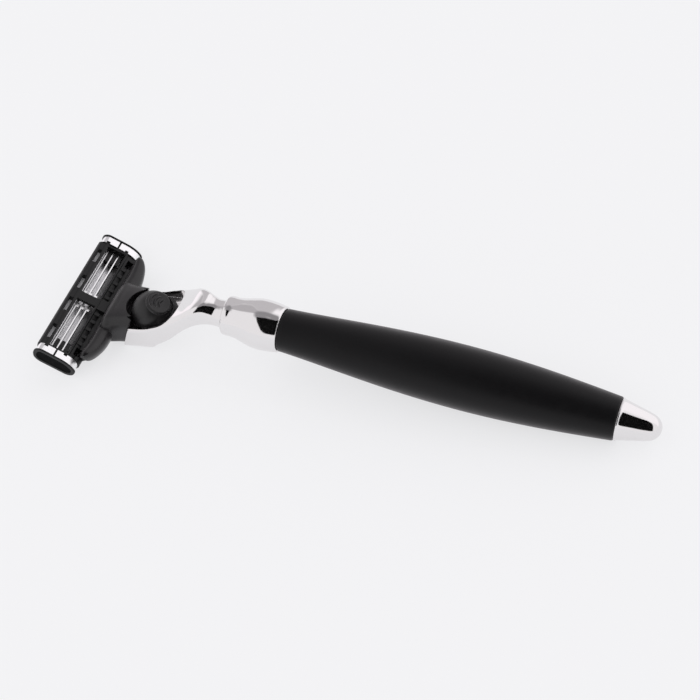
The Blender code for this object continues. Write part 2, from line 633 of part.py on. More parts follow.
def make_housing():
    core = rounded(inset(flange_outline(), 0.75), 0.8)
    housing = prism(core, -FLANGE_INNER - 0.1, FLANGE_INNER + 0.1)
    housing = finish("cartridge_housing", housing, pivot, CARTRIDGE_BLACK, FROM_PIVOT)

    def add(name, bm, operation):
        combine(housing, finish(name, bm, pivot, offset=FROM_PIVOT), operation)

    body = prism(rounded(body_outline(), 0.25, 2), -GROOVE_INNER, GROOVE_INNER)
    add("housing_body", body, "UNION")
    for side in (-1, 1):
        rings = []
        steps = ((FLANGE_INNER, 0.0), (HALF_LENGTH - 0.2, 0.0), (HALF_LENGTH - 0.05, 0.1))
        steps += ((HALF_LENGTH, 0.25),)
        for y, depth in steps:
            outline = rounded(inset(flange_outline(), depth), 1.1)
            rings.append([(s, side * y, h) for s, h in outline])
        add("housing_flange_%d" % (side + 1), loft(rings), "UNION")
        recess = rounded(inset(flange_outline(), 0.95), 0.8)
        span = sorted((side * (HALF_LENGTH - 0.2), side * (HALF_LENGTH + 1.0)))
        add("flange_recess_%d" % (side + 1), prism(recess, span[0], span[1]), "DIFFERENCE")

    window = (WINDOW_CAP, WINDOW_GUARD)
    add("window_low", boxes([(window, (-WINDOW_HALF, WINDOW_HALF), (-6.0, RIB_UNDER))]),
        "DIFFERENCE")
    high = [(window, (-WINDOW_HALF, -RIB_HALF), (0.0, 6.0))]
    high.append((window, (RIB_HALF, WINDOW_HALF), (0.0, 6.0)))
    add("window_high", boxes(high), "DIFFERENCE")

    chamfer = [(BAR_CHAMFER, BACK_H + 0.1), (BAR_CHAMFER, BACK_H), (WINDOW_CAP - 0.01, 0.55)]
    chamfer += [(WINDOW_CAP + 0.5, 0.55), (WINDOW_CAP + 0.5, BACK_H + 0.1)]
    for side in (-1, 1):
        span = sorted((side * RIB_HALF, side * WINDOW_HALF))
        add("bar_chamfer_%d" % (side + 1), prism(chamfer, span[0], span[1]), "DIFFERENCE")

    strip_pocket = [(-5.6, 0.1), (-3.35, 0.1), (-3.35, -6.0), (-5.6, -6.0)]
    add("strip_pocket", prism(strip_pocket, -17.5, 17.5), "DIFFERENCE")
    guard_pocket = [((2.9, 5.4), (-13.7, 13.7), (-6.0, -1.4))]
    add("guard_pocket", boxes(guard_pocket), "DIFFERENCE")
    slots = []
    for y in (-13.45, -3.95, 3.95, 13.45):
        slots.append(((-4.95, -3.85), (y - 2.25, y + 2.25), (-0.2, 3.0)))
    add("drain_slots", boxes(slots), "DIFFERENCE")

    ribs = []
    for y in (3.0, 5.6, 8.2, 10.8, 13.2):
        for side in (-1, 1):
            centre = side * y
            ribs.append(((2.4, 4.1), (centre - 0.45, centre + 0.45), (0.2, 1.3)))
    add("guard_ribs", boxes(ribs), "UNION")
    add("cam_block", boxes([((2.0, 5.85), (-1.7, 1.7), (-0.5, 1.6))]), "UNION")
    cam_reach = 2.2
    corner = Vector((math.cos(DOCK_SLOPE + BLADE_TILT), math.sin(DOCK_SLOPE + BLADE_TILT)))
    across = Vector((-corner.y, corner.x))
    start = Vector((PIVOT_S, PIVOT_H)) + corner * cam_reach
    cam = [start - across * 1.6, start + across * 8.0]
    cam += [cam[1] + corner * 5.0, cam[0] + corner * 5.0]
    add("cam_face", prism([tuple(p) for p in cam], -1.9, 1.9), "DIFFERENCE")

    fingers = []
    for i in range(BLADE_COUNT):
        leg = BLADE_FIRST + BLADE_PITCH * i
        for side in (-1, 1):
            span = sorted((side * 14.0, side * (WINDOW_HALF + 0.2)))
            fingers.append(((leg + 0.32, leg + 1.18), span, (-0.9, 0.35)))
    add("spring_fingers", boxes(fingers), "UNION")

    last = STEM_DIRECTION + STEM_SWEEP
    notch = [pivot_offset(STEM_DIRECTION, 7.0, -0.82), pivot_offset(last, 7.0, 0.82)]
    notch += arc((PIVOT_S, PIVOT_H), 1.12, last + 47.0, STEM_DIRECTION + 313.0, 16)
    for side in (-1, 1):
        span = sorted((side * (STEM_IN - 0.2), side * (STEM_OUT + 0.2)))
        add("stem_notch_%d" % (side + 1), prism(notch, span[0], span[1]), "DIFFERENCE")


def make_blades():
    down = Vector((math.cos(BLADE_SLOPE), -math.sin(BLADE_SLOPE)))
    under = Vector((-math.sin(BLADE_SLOPE), -math.cos(BLADE_SLOPE)))
    for i in range(BLADE_COUNT):
        leg = BLADE_FIRST + BLADE_PITCH * i
        bend = Vector((leg + SUPPORT_THICK / 2, -1.6))
        drop = SUPPORT_THICK * math.tan(math.radians(32.5))
        heel = Vector((leg - SUPPORT_THICK / 2, -1.6 - drop))
        outline = [(leg + SUPPORT_THICK / 2, 0.2), tuple(bend), tuple(bend + down * 1.2)]
        outline += [tuple(bend + down * 1.2 + under * SUPPORT_THICK), tuple(heel)]
        outline += [(leg - SUPPORT_THICK / 2, 0.2)]
        support = prism(outline, -BLADE_HALF, BLADE_HALF)
        name = "blade_support_%d" % (i + 1)
        support = finish(name, support, pivot, BLADE_STEEL, FROM_PIVOT)
        tabs = []
        for y in (-2.15, 2.15):
            tabs.append(((leg - 0.1, leg + 0.7), (y - 0.6, y + 0.6), (-0.1, 0.2)))
        combine(support, finish(name + "_tabs", boxes(tabs), pivot, offset=FROM_PIVOT), "UNION")
        start = bend + under * (SUPPORT_THICK + 0.04) + down * 0.15
        outline = [start, start + down * 1.25, start + down * 1.5 + under * BLADE_THICK / 2]
        outline += [start + down * 1.25 + under * BLADE_THICK, start + under * BLADE_THICK]
        blade = prism([tuple(p) for p in outline], -BLADE_HALF, BLADE_HALF)
        finish("blade_%d" % (i + 1), blade, pivot, BLADE_STEEL, FROM_PIVOT)


def make_trim():
    outer = rounded(inset(flange_outline(), 0.32), 1.0)
    inner = rounded(inset(flange_outline(), 0.6), 0.9)
    for name, side in (("clip_left", -1), ("clip_right", 1)):
        span = sorted((side * (GROOVE_INNER + FIT), side * (FLANGE_INNER - FIT)))
        clip = finish(name, prism(outer, span[0], span[1]), pivot, CLIP_METAL, FROM_PIVOT)
        hollow = prism(inner, span[0] - 1.0, span[1] + 1.0)
        combine(clip, finish(name + "_hollow", hollow, pivot, offset=FROM_PIVOT), "DIFFERENCE")
        edge = side * GROOVE_INNER
        bite = sorted((edge - side * 0.5, edge + side * 0.65))
        cuts = boxes([
            ((-0.85, -0.35), (span[0] - 0.5, span[1] + 0.5), (0.0, 4.0)),
            ((-4.0, -3.0), bite, (0.0, 4.0)),
            ((1.4, 2.3), bite, (0.0, 4.0)),
        ])
        combine(clip, finish(name + "_cuts", cuts, pivot, offset=FROM_PIVOT), "DIFFERENCE")

    strip = [(-5.5, 0.0), (-3.45, 0.0), (-3.45, -2.75), (-4.2, -2.85), (-5.5, -2.2)]
    finish("lubricating_strip", prism(strip, -17.4, 17.4), pivot, STRIP_GREY, FROM_PIVOT)
    comb = [(5.3, -1.5), (3.0, -1.5)]
    fins = 5
    pitch = 2.3 / fins
    for i in range(fins):
        left = 3.0 + pitch * i
        comb += [(left, -3.3), (left + pitch * 0.55, -3.3)]
        if i < fins - 1:
            comb += [(left + pitch * 0.6, -2.7), (left + pitch * 0.95, -2.7)]
    comb += [(5.3, -2.9)]
    finish("guard_strip", prism(comb, -13.6, 13.6), pivot, GUARD_RUBBER, FROM_PIVOT)


make_handle()
make_head()
make_insert()
make_button()
make_yoke()
make_housing()
make_blades()
make_trim()
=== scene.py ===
"""Looks of the cartridge razor: smooth chrome, satin black and moulded plastic pieces
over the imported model, on a pale floor in soft studio light."""
import math

import bmesh
import bpy
from mathutils import Matrix, Vector


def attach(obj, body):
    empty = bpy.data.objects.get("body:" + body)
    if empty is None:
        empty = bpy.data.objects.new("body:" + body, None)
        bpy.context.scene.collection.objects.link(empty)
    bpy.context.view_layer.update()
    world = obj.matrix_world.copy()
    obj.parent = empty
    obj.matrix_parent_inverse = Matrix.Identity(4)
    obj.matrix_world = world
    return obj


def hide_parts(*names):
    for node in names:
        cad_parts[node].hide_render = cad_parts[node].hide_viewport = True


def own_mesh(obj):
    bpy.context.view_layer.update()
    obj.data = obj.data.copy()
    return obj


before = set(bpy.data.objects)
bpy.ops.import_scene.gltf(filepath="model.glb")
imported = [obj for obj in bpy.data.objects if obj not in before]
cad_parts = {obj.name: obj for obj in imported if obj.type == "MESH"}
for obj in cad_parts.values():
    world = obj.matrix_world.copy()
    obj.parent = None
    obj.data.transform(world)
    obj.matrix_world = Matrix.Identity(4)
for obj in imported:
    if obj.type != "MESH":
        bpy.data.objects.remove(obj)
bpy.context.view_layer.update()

MM = 0.001                      # shapes are built in millimetres and scaled to metres

# The model's three frames, all with Y along the blades: handle (X along the grip towards
# the finial), dock (the socket that the cartridge slides onto, X back towards the grip) and
# blade (X from the cap strip to the guard, Z out of the cartridge's back)
REST_PITCH = math.radians(4.4)  # the grip axis as the razor lies on its heel and grip
DOCK_SLOPE = math.radians(17.0)
DOCK_X = -37.0
DOCK_Z = -10.0
BLADE_TILT = math.radians(17.65)
HANDLE = Matrix.Translation((-16.92, 0.0, 12.2)) @ Matrix.Rotation(REST_PITCH, 4, "Y")
DOCK = HANDLE @ Matrix.Translation((DOCK_X, 0.0, DOCK_Z)) @ Matrix.Rotation(-DOCK_SLOPE, 4, "Y")
BLADE = HANDLE @ Matrix.Translation((-55.05, 0.0, -10.4)) @ Matrix.Rotation(BLADE_TILT, 4, "Y")
PIVOT = (4.4, -1.6)             # the cartridge's pivot in the blade frame

# Handle
FINE = 128                      # sides of a turned piece
FIT = 0.1                       # clearance between fitted pieces
GRIP_LENGTH = 85.1
GRIP_BORE = 3.75
BELLY_X = 46.0                  # where the grip is thickest
FERRULE_LENGTH = 15.3
SPIGOT_RADIUS = 3.6
SPIGOT_LENGTH = 6.0
STEM_RADIUS = 3.2
ROD_RADIUS = 2.0
ROD_HOLE = ROD_RADIUS + 0.15
FINIAL_TIP = 95.7

# Head casting, with the opening round the button, in the dock frame
CUP_TOP = 4.2
CUP_UNDER = -4.1
CUP_HALF_WIDTH = 7.15
CUP_POWER = 5.0                 # how square the cup's section is
CUP_STATIONS = (2.0, -2.0, -9.5)
OPENING_HALF_WIDTH = 6.65
OPENING_ROUND = 2.4             # where the opening's sides start to close in
OPENING_REAR = 11.4
OPENING_POWER = 3.0
FLOOR_SHALLOW = 1.6
POCKET = ((-14.0, 4.0), (-5.55, 5.55), (-3.2, 3.0))     # the deep pocket for the insert
SPLIT_POINT = (-2.05, 4.4)      # two points on the slanted seam between casting and yoke
SPLIT_LOW = (-6.6, -2.8)
SPLIT_HALF_GAP = 0.07

# Button, in the dock frame
BUTTON_CENTRE = (1.62, 0.0, 2.88)
BUTTON_RADIUS = 5.45
BUTTON_FRONT = -2.7             # flat front of the button's lower part
BUTTON_FRONT_TOP = 4.05
BUTTON_CUT = 1.75
SKIRT_TOP = 2.5
PAD_LEAN = 42.0                 # thumb pad's tilt towards the grip, in degrees
PAD_FACE = 4.92                 # from the dome's centre to the sunk face of the pad
RIDGES = ((0.3, 2.55), (1.0, 2.05), (1.6, 1.4))     # arc's centre and radius of each crescent
RIDGE_HALF_ANGLE = 62.0
RIDGE_HALF_WIDTH = 0.36
RIDGE_HEIGHT = 0.41

# Yoke, in the dock frame and the blade frame
SOCKET_HALF_WIDTH = 5.12
SOCKET_HALF_HEIGHT = 2.62
SOCKET_UP = 1.3
SOCKET_FRONT = -9.75
YOKE_LIP = 4.95                 # radius of the yoke's top rear edge round the button
YOKE_RELIEF = 5.75              # radius of the hollow under that edge
CLEAR_RADIUS = 4.25             # the yoke stays outside this round the pivot, but for its stems
STEM_IN = 14.6                  # the stems' inner and outer faces
STEM_OUT = 16.6
STEM_DIRECTION = 53.0

# Springs, in the dock frame: fixed end, free end, radius, radius of the wire, turns
BUTTON_SPRING = (-2.6, 1.95, 0.62, 0.12, 6)
PLUNGER_SPRING = (-4.75, -7.75, 0.66, 0.11, 5)
BUTTON_SPRING_Y = 3.2
BUTTON_SPRING_UP = 0.1
PLUNGER_UP = 2.3
BUTTON_TRAVEL = 1.25            # how far a button spring shortens
PLUNGER_TRAVEL = 2.22           # how far the plunger spring shortens

# Cartridge, in the blade frame
WINDOW_NEAR = 1.3               # a window's ends, from the middle of the cartridge
WINDOW_FAR = 17.5
LINING_SHADED = -3.85             # up to here the lining is painted in full shade, near black
LINING_LIT = -3.4              # and from here on it shows its own bright metal, with the painted shade fading out between
SUNK_FLOOR = 20.55              # from the middle to the floor of the sunk end ovals
SUNK_MIDDLE = -0.25             # the level that the ovals shrink towards
SUNK_SHARE = (0.82, 0.66)       # width and height of an oval as a share of its end face


# ---------------------------------------------------------------- mesh helpers

def to_mesh(name, bm, place):
    """Turn a bmesh in millimetres, in one of the frames above, into a scene object."""
    bmesh.ops.remove_doubles(bm, verts=bm.verts, dist=1e-5)
    bmesh.ops.dissolve_degenerate(bm, dist=1e-5, edges=bm.edges)
    bmesh.ops.recalc_face_normals(bm, faces=bm.faces)
    bmesh.ops.transform(bm, matrix=place, verts=bm.verts)
    bmesh.ops.scale(bm, vec=(MM, MM, MM), verts=bm.verts)
    mesh = bpy.data.meshes.new(name)
    bm.to_mesh(mesh)
    bm.free()
    obj = bpy.data.objects.new(name, mesh)
    bpy.context.collection.objects.link(obj)
    return obj


def combine(target, bm, place, operation):
    """Join or cut target with a bmesh, and keep only the result."""
    other = to_mesh("tool", bm, place)
    step = target.modifiers.new("combine", "BOOLEAN")
    step.operation = operation
    step.solver = "EXACT"
    step.object = other
    bpy.context.view_layer.update()
    graph = bpy.context.evaluated_depsgraph_get()
    result = bpy.data.meshes.new_from_object(target.evaluated_get(graph))
    target.modifiers.clear()
    old = target.data
    target.data = result
    bpy.data.meshes.remove(old)
    mesh = other.data
    bpy.data.objects.remove(other)
    bpy.data.meshes.remove(mesh)


def smooth(obj, angle):
    """Shade smooth except over edges sharper than an angle in degrees."""
    obj.data.shade_smooth()
    obj.data.set_sharp_from_angle(angle=math.radians(angle))
    return obj


def hermite(points, steps):
    """A smooth curve through points of any dimension, with steps to each span."""
    vectors = [Vector(p) for p in points]
    knots = [0.0]
    for a, b in zip(vectors, vectors[1:]):
        knots.append(knots[-1] + max((b - a).length, 1e-6) ** 0.5)
    slopes = []
    for i in range(len(vectors)):
        low, high = max(i - 1, 0), min(i + 1, len(vectors) - 1)
        if low == i or high == i:
            slopes.append((vectors[high] - vectors[low]) / (knots[high] - knots[low]))
            continue
        before = (vectors[i] - vectors[low]) / (knots[i] - knots[low])
        after = (vectors[high] - vectors[i]) / (knots[high] - knots[i])
        span = knots[high] - knots[low]
        weight = (knots[i] - knots[low]) / span
        slopes.append(before * (1.0 - weight) + after * weight)
    result = []
    for i in range(len(vectors) - 1):
        width = knots[i + 1] - knots[i]
        for k in range(steps):
            t = k / steps
            a = (1 + 2 * t) * (1 - t) ** 2
            b = t * (1 - t) ** 2 * width
            c = t * t * (3 - 2 * t)
            d = t * t * (t - 1) * width
            point = vectors[i] * a + slopes[i] * b + vectors[i + 1] * c + slopes[i + 1] * d
            result.append(tuple(point))
    result.append(tuple(vectors[-1]))
    return result


def turned(profile, sides=FINE, up=0.0):
    """Spin a closed outline of (x, radius) points about an axis along X."""
    bm = bmesh.new()
    verts = [bm.verts.new((x, 0.0, up + r)) for x, r in profile]
    edges = [bm.edges.new((verts[i], verts[(i + 1) % len(verts)])) for i in range(len(verts))]
    bmesh.ops.spin(
        bm,
        geom=verts + edges,
        cent=(0.0, 0.0, up),
        axis=(1.0, 0.0, 0.0),
        angle=2.0 * math.pi,
        steps=sides,
        use_merge=True,
    )
    return bm


def loft(rings):
    """Skin a list of equal rings of points and close both ends."""
    bm = bmesh.new()
    loops = [[bm.verts.new(p) for p in ring] for ring in rings]
    count = len(loops[0])
    for near, far in zip(loops, loops[1:]):
        for i in range(count):
            j = (i + 1) % count
            bm.faces.new((near[i], near[j], far[j], far[i]))
    bm.faces.new(loops[0])
    bm.faces.new(loops[-1])
    return bm


def smooth_rings(rings, steps):
    """Add rings between the given ones, each point along its own smooth curve."""
    lines = [hermite([ring[i] for ring in rings], steps) for i in range(len(rings[0]))]
    return [[line[k] for line in lines] for k in range(len(lines[0]))]


def prism(outline, start, end, plane="XZ"):
    """Extrude a 2-D outline along Y (plane XZ) or along Z (plane XY)."""
    if plane == "XZ":
        return loft([[(a, level, b) for a, b in outline] for level in (start, end)])
    return loft([[(a, b, level) for a, b in outline] for level in (start, end)])


def boxes(spans):
    """Make separate boxes, each ((x0, x1), (y0, y1), (z0, z1))."""
    bm = bmesh.new()
    for (x0, x1), (y0, y1), (z0, z1) in spans:
        size = Matrix.Diagonal((x1 - x0, y1 - y0, z1 - z0, 1.0))
        place = Matrix.Translation(((x0 + x1) / 2, (y0 + y1) / 2, (z0 + z1) / 2))
        bmesh.ops.create_cube(bm, size=1.0, matrix=place @ size)
    return bm


def superellipse(half_width, half_height, power, count):
    """Points of |x/a|^n + |y/b|^n = 1, spread evenly enough for a smooth skin."""
    points = []
    for i in range(count):
        turn = 2.0 * math.pi * i / count
        c, s = math.cos(turn), math.sin(turn)
        reach = (abs(c) ** power + abs(s) ** power) ** (-1.0 / power)
        points.append((half_width * reach * c, half_height * reach * s))
    return points


def arc(centre, radius, start, end, steps):
    """Points on an arc, with angles in degrees."""
    points = []
    for i in range(steps + 1):
        turn = math.radians(start + (end - start) * i / steps)
        points.append((centre[0] + radius * math.cos(turn), centre[1] + radius * math.sin(turn)))
    return points


# ---------------------------------------------------------------- materials

BROAD_SCALE = 70.0              # of the colour's slow drift, per metre
BLOTCH_SCALE = 420.0            # of the changes in roughness and wear, per metre
EDGE_STARTS = 0.99              # agreement of rounded and flat normals where the lightened edge begins, partly wear and partly painted highlight
EDGE_FULL = 0.86                # and where it is full


def node(tree, kind, inputs=(), **settings):
    """Add a shader node, set its properties, and set or link its inputs."""
    made = tree.nodes.new(kind)
    for key, value in settings.items():
        setattr(made, key, value)
    for key, value in dict(inputs).items():
        if isinstance(value, bpy.types.NodeSocket):
            tree.links.new(value, made.inputs[key])
        else:
            made.inputs[key].default_value = value
    return made


def mask(tree, value, low, high, soft):
    """1 where a value lies between two limits, with soft edges."""
    rise = node(tree, "ShaderNodeMapRange", {
        "Value": value, "From Min": low - soft, "From Max": low + soft}).outputs[0]
    fall = node(tree, "ShaderNodeMapRange", {
        "Value": value, "From Min": high - soft, "From Max": high + soft,
        "To Min": 1.0, "To Max": 0.0}).outputs[0]
    return node(tree, "ShaderNodeMath", {0: rise, 1: fall}, operation="MULTIPLY").outputs[0]


def surface(name, colour, second, metallic, rough, spread, grain, depth, **more):
    """A moulded, polished or brushed surface.

    colour and second are the two ends of a slow colour drift, rough and spread the middle
    and half range of the roughness, grain the texture's scale per metre and depth its
    height in metres. Edges are rounded by edge_radius and lightened towards the wear and
    highlight colour, by up to the wear and highlight share: partly edge wear and partly a
    painted highlight, as on the thumb pad's crescents.
    """
    mat = bpy.data.materials.new(name)
    mat.use_nodes = True
    tree = mat.node_tree
    shader = tree.nodes["Principled BSDF"]
    coords = node(tree, "ShaderNodeTexCoord").outputs["Object"]
    stretch = more.get("stretch")
    grain_coords = coords
    if stretch:
        grain_coords = node(tree, "ShaderNodeVectorMath", {0: coords, 1: stretch},
                            operation="MULTIPLY").outputs[0]
    broad = node(tree, "ShaderNodeTexNoise", {
        "Vector": coords, "Scale": BROAD_SCALE, "Detail": 3.0}).outputs["Fac"]
    blotch = node(tree, "ShaderNodeTexNoise", {
        "Vector": coords, "Scale": BLOTCH_SCALE, "Detail": 4.0}).outputs["Fac"]
    fine = node(tree, "ShaderNodeTexNoise", {
        "Vector": grain_coords, "Scale": grain, "Detail": 3.0, "Roughness": 0.6}).outputs["Fac"]
    tint = node(tree, "ShaderNodeMix", {0: broad, 6: (*colour, 1.0), 7: (*second, 1.0)},
                data_type="RGBA").outputs[2]

    radius = more.get("edge_radius", 0.00012)
    rounded_normal = node(tree, "ShaderNodeBevel", {"Radius": radius}, samples=4).outputs[0]
    flat_normal = node(tree, "ShaderNodeNewGeometry").outputs["Normal"]
    facing = node(tree, "ShaderNodeVectorMath", {0: rounded_normal, 1: flat_normal},
                  operation="DOT_PRODUCT").outputs["Value"]
    edge = node(tree, "ShaderNodeMapRange", {
        "Value": facing, "From Min": EDGE_STARTS, "From Max": EDGE_FULL,
        "To Min": 0.0, "To Max": more["wear"]}).outputs[0]
    # partly painted highlight: edges are lightened towards a paler colour, partly as wear and
    # partly standing in for light caught on the edges
    worn_and_lit_edge = node(tree, "ShaderNodeMath", {0: edge, 1: blotch}, operation="MULTIPLY").outputs[0]
    wear_colour = more.get("wear_colour", tuple(min(1.0, c * 2.0 + 0.02) for c in colour))
    tint = node(tree, "ShaderNodeMix", {0: worn_and_lit_edge, 6: tint, 7: (*wear_colour, 1.0)},
                data_type="RGBA").outputs[2]
    tree.links.new(tint, shader.inputs["Base Color"])

    level = node(tree, "ShaderNodeMapRange", {
        "Value": blotch, "From Min": 0.3, "From Max": 0.7,
        "To Min": rough - spread, "To Max": rough + spread}).outputs[0]
    tree.links.new(level, shader.inputs["Roughness"])
    bump = node(tree, "ShaderNodeBump", {
        "Height": fine, "Distance": depth, "Strength": 1.0,
        "Normal": rounded_normal}).outputs[0]
    tree.links.new(bump, shader.inputs["Normal"])
    shader.inputs["Metallic"].default_value = metallic
    shader.inputs["Specular IOR Level"].default_value = more.get("specular", 0.5)
    if "sheen" in more:
        shader.inputs["Sheen Weight"].default_value = more["sheen"]
        shader.inputs["Sheen Roughness"].default_value = 0.4
        shader.inputs["Sheen Tint"].default_value = (1.0, 0.93, 0.97, 1.0)
    return mat


CHROME = surface("polished_chrome", (0.80, 0.785, 0.79), (0.84, 0.825, 0.83), 1.0, 0.07, 0.02,
                 900.0, 0.0000006, wear=0.3, wear_colour=(0.95, 0.94, 0.95),
                 edge_radius=0.0002)
GRIP_BLACK = surface("satin_black_lacquer", (0.0028, 0.0028, 0.0033), (0.0042, 0.0041, 0.0047),
                     0.0, 0.42, 0.04, 5200.0, 0.0000035, specular=0.17, wear=0.3, sheen=0.25,
                     edge_radius=0.0002)
HEAD_BLACK = surface("head_black_plastic", (0.0048, 0.0043, 0.0052), (0.0068, 0.006, 0.0073), 0.0,
                     0.30, 0.05, 4200.0, 0.0000045, specular=0.52, wear=0.7, sheen=0.1,
                     edge_radius=0.0002)
CARTRIDGE_BLACK = surface("cartridge_black_plastic", (0.0035, 0.0035, 0.004),
                          (0.0055, 0.0055, 0.006), 0.0, 0.42, 0.06, 4200.0, 0.0000045,
                          specular=0.35, wear=0.8, wear_colour=(0.06, 0.06, 0.065))
INLAY_BLACK = surface("end_face_dull_black", (0.0025, 0.0025, 0.003), (0.0035, 0.0035, 0.004),
                      0.0, 0.7, 0.06, 4200.0, 0.0000045, specular=0.06, wear=0.2)
# the thumb pad's pale edge colour is a painted highlight that outlines its crescents' rims
THUMB_BLACK = surface("thumb_black_plastic", (0.005, 0.0046, 0.0054), (0.0065, 0.006, 0.0068),
                      0.0, 0.43, 0.05, 4200.0, 0.0000045, specular=0.5, wear=2.0,
                      wear_colour=(0.10, 0.095, 0.10), edge_radius=0.00025)
CLIP_METAL = surface("bright_clip_metal", (0.93, 0.93, 0.94), (0.88, 0.88, 0.89), 1.0, 0.24,
                     0.06, 2600.0, 0.0000015, stretch=(1.0, 0.15, 1.0), wear=0.4,
                     wear_colour=(1.0, 1.0, 1.0), edge_radius=0.00004)
BLADE_STEEL = surface("blade_steel_brushed", (0.97, 0.97, 0.98), (0.9, 0.9, 0.91), 1.0, 0.34,
                      0.04, 3800.0, 0.0000004, stretch=(1.0, 0.05, 1.0), wear=0.4,
                      wear_colour=(0.95, 0.95, 0.95), edge_radius=0.00001)
SPRING_STEEL = surface("spring_steel_drawn", (0.52, 0.52, 0.53), (0.44, 0.44, 0.45), 1.0, 0.3,
                       0.08, 3000.0, 0.000001, wear=0.3, wear_colour=(0.8, 0.8, 0.8),
                       edge_radius=0.00006)
BRASS = surface("turned_brass", (0.74, 0.56, 0.27), (0.66, 0.48, 0.22), 1.0, 0.33, 0.08, 3000.0,
                0.0000015, stretch=(1.0, 0.1, 0.1), wear=0.3, wear_colour=(0.9, 0.74, 0.42))
STRIP_GREY = surface("lubricating_strip_grey", (0.60, 0.60, 0.62), (0.70, 0.70, 0.72), 0.0,
                     0.55, 0.08, 3200.0, 0.000006, wear=0.3, wear_colour=(0.8, 0.8, 0.82))
GUARD_RUBBER = surface("guard_rubber_soft", (0.012, 0.012, 0.013), (0.02, 0.02, 0.021), 0.0,
                       0.68, 0.08, 3600.0, 0.000006, specular=0.3, wear=0.3)


def dress(obj, body, mat, slot, *nodes):
    """Give a piece its material, let it ride, and let it stand for CAD nodes; slot is not used.
    """
    obj.data.materials.clear()
    obj.data.materials.append(mat)
    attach(obj, body)
    if nodes:
        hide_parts(*nodes)


# ---------------------------------------------------------------- handle

def grip_radius(x):
    """The grip swells from its collar to its middle and narrows to the finial."""
    if x < BELLY_X:
        return 5.45 + 2.45 * math.sin(0.5 * math.pi * (x / BELLY_X)) ** 1.25
    return 7.9 - 2.67 * (1.0 - math.cos(0.5 * math.pi * (x - BELLY_X) / 42.5)) / 0.92


def rounded_corner(points):
    """Replace the middle of three profile points by a quadratic curve."""
    steps = 4
    a, b, c = (Vector(p) for p in points)
    return [tuple(a * (1 - t) ** 2 + b * 2 * t * (1 - t) + c * t * t)
            for t in (k / steps for k in range(steps + 1))]


def make_grip():
    """Turn the long sleeve, with a small round at each end."""
    count = 110
    profile = [(0.1, GRIP_BORE)]
    profile += rounded_corner([(0.1, 5.1), (0.1, 5.45), (0.5, grip_radius(0.5))])
    for i in range(1, count):
        x = 0.5 + (GRIP_LENGTH - 1.0) * i / count
        profile.append((x, grip_radius(x)))
    end = grip_radius(GRIP_LENGTH - 0.5)
    profile += rounded_corner([(GRIP_LENGTH - 0.5, end), (GRIP_LENGTH, end - 0.02),
                               (GRIP_LENGTH, end - 0.35)])
    profile.append((GRIP_LENGTH, GRIP_BORE))
    grip = smooth(to_mesh("grip_sleeve", turned(profile), HANDLE), 40.0)
    dress(grip, "handle", GRIP_BLACK, "grip_black", "grip_barrel")


def make_ferrule():
    """Turn the collar between grip and head, with its spigot in the grip."""
    curve = [(0.0, 5.8), (-0.7, 5.95), (-2.3, 6.2), (-4.6, 6.4), (-6.9, 6.32), (-9.2, 5.82)]
    curve += [(-11.5, 5.24), (-13.1, 5.04), (-14.2, 5.06), (-15.0, 4.95)]
    curve.append((-FERRULE_LENGTH, 4.6))
    profile = [(SPIGOT_LENGTH, ROD_HOLE), (SPIGOT_LENGTH, SPIGOT_RADIUS), (0.0, SPIGOT_RADIUS)]
    profile += rounded_corner([(0.0, 5.5), (0.0, 5.8), (-0.25, 5.86)])
    profile += hermite(curve[1:], 8)
    profile += [(-FERRULE_LENGTH, STEM_RADIUS + FIT), (-5.0, STEM_RADIUS + FIT)]
    profile.append((-5.0, ROD_HOLE))
    ferrule = smooth(to_mesh("ferrule_turning", turned(profile), HANDLE), 40.0)
    dress(ferrule, "handle", CHROME, "chrome", "ferrule")


def make_finial():
    """Turn the tail, with its spigot, its groove and its blunt tip."""
    base = GRIP_LENGTH + FIT
    curve = [(base + 0.6, 5.05), (base + 4.0, 4.25), (base + 7.3, 3.45), (base + 8.9, 2.85)]
    curve += [(base + 9.9, 1.9), (95.6, 0.9), (FINIAL_TIP, 0.0)]
    profile = [(base + 5.5, 0.0), (base + 5.5, ROD_HOLE), (base - SPIGOT_LENGTH, ROD_HOLE)]
    profile += [(base - SPIGOT_LENGTH, SPIGOT_RADIUS), (base, SPIGOT_RADIUS)]
    profile += [(base, 5.15), (base + 0.12, 5.27)]
    profile += [(base + 0.4, 5.29), (base + 0.5, 5.12)]
    profile += hermite(curve, 6)
    finial = smooth(to_mesh("finial_turning", turned(profile), HANDLE), 40.0)
    dress(finial, "handle", CHROME, "chrome", "finial")


# ---------------------------------------------------------------- head casting

RING = 112


def upright_ring(x, top, bottom, half_width, power):
    """A ring of the neck in a plane across the handle frame's X."""
    middle, half = (top + bottom) / 2, (top - bottom) / 2
    return [(x, p, middle + q) for p, q in superellipse(half_width, half, power, RING)]


def dock_point(x, y, z):
    """Carry a point of the dock frame into the handle frame."""
    c, s = math.cos(DOCK_SLOPE), math.sin(DOCK_SLOPE)
    return (DOCK_X + x * c - z * s, y, DOCK_Z + x * s + z * c)


def dock_ring(x, top, bottom, half_width, power):
    """A ring of the cup across the dock frame's X, in the handle frame."""
    middle, half = (top + bottom) / 2, (top - bottom) / 2
    outline = superellipse(half_width, half, power, RING)
    return [dock_point(x, p, middle + q) for p, q in outline]


def seam_block(side):
    """A block on one side of the slanted seam between casting and yoke."""
    reach = 30.0
    top, low = Vector(SPLIT_POINT), Vector(SPLIT_LOW)
    along = (low - top).normalized()
    across = Vector((along.y, -along.x)) * side
    start = top - along * reach - across * SPLIT_HALF_GAP
    end = low + along * reach - across * SPLIT_HALF_GAP
    away = across * (reach + 10.0)
    outline = [tuple(start), tuple(end), tuple(end + away), tuple(start + away)]
    return prism(outline, -reach, reach)


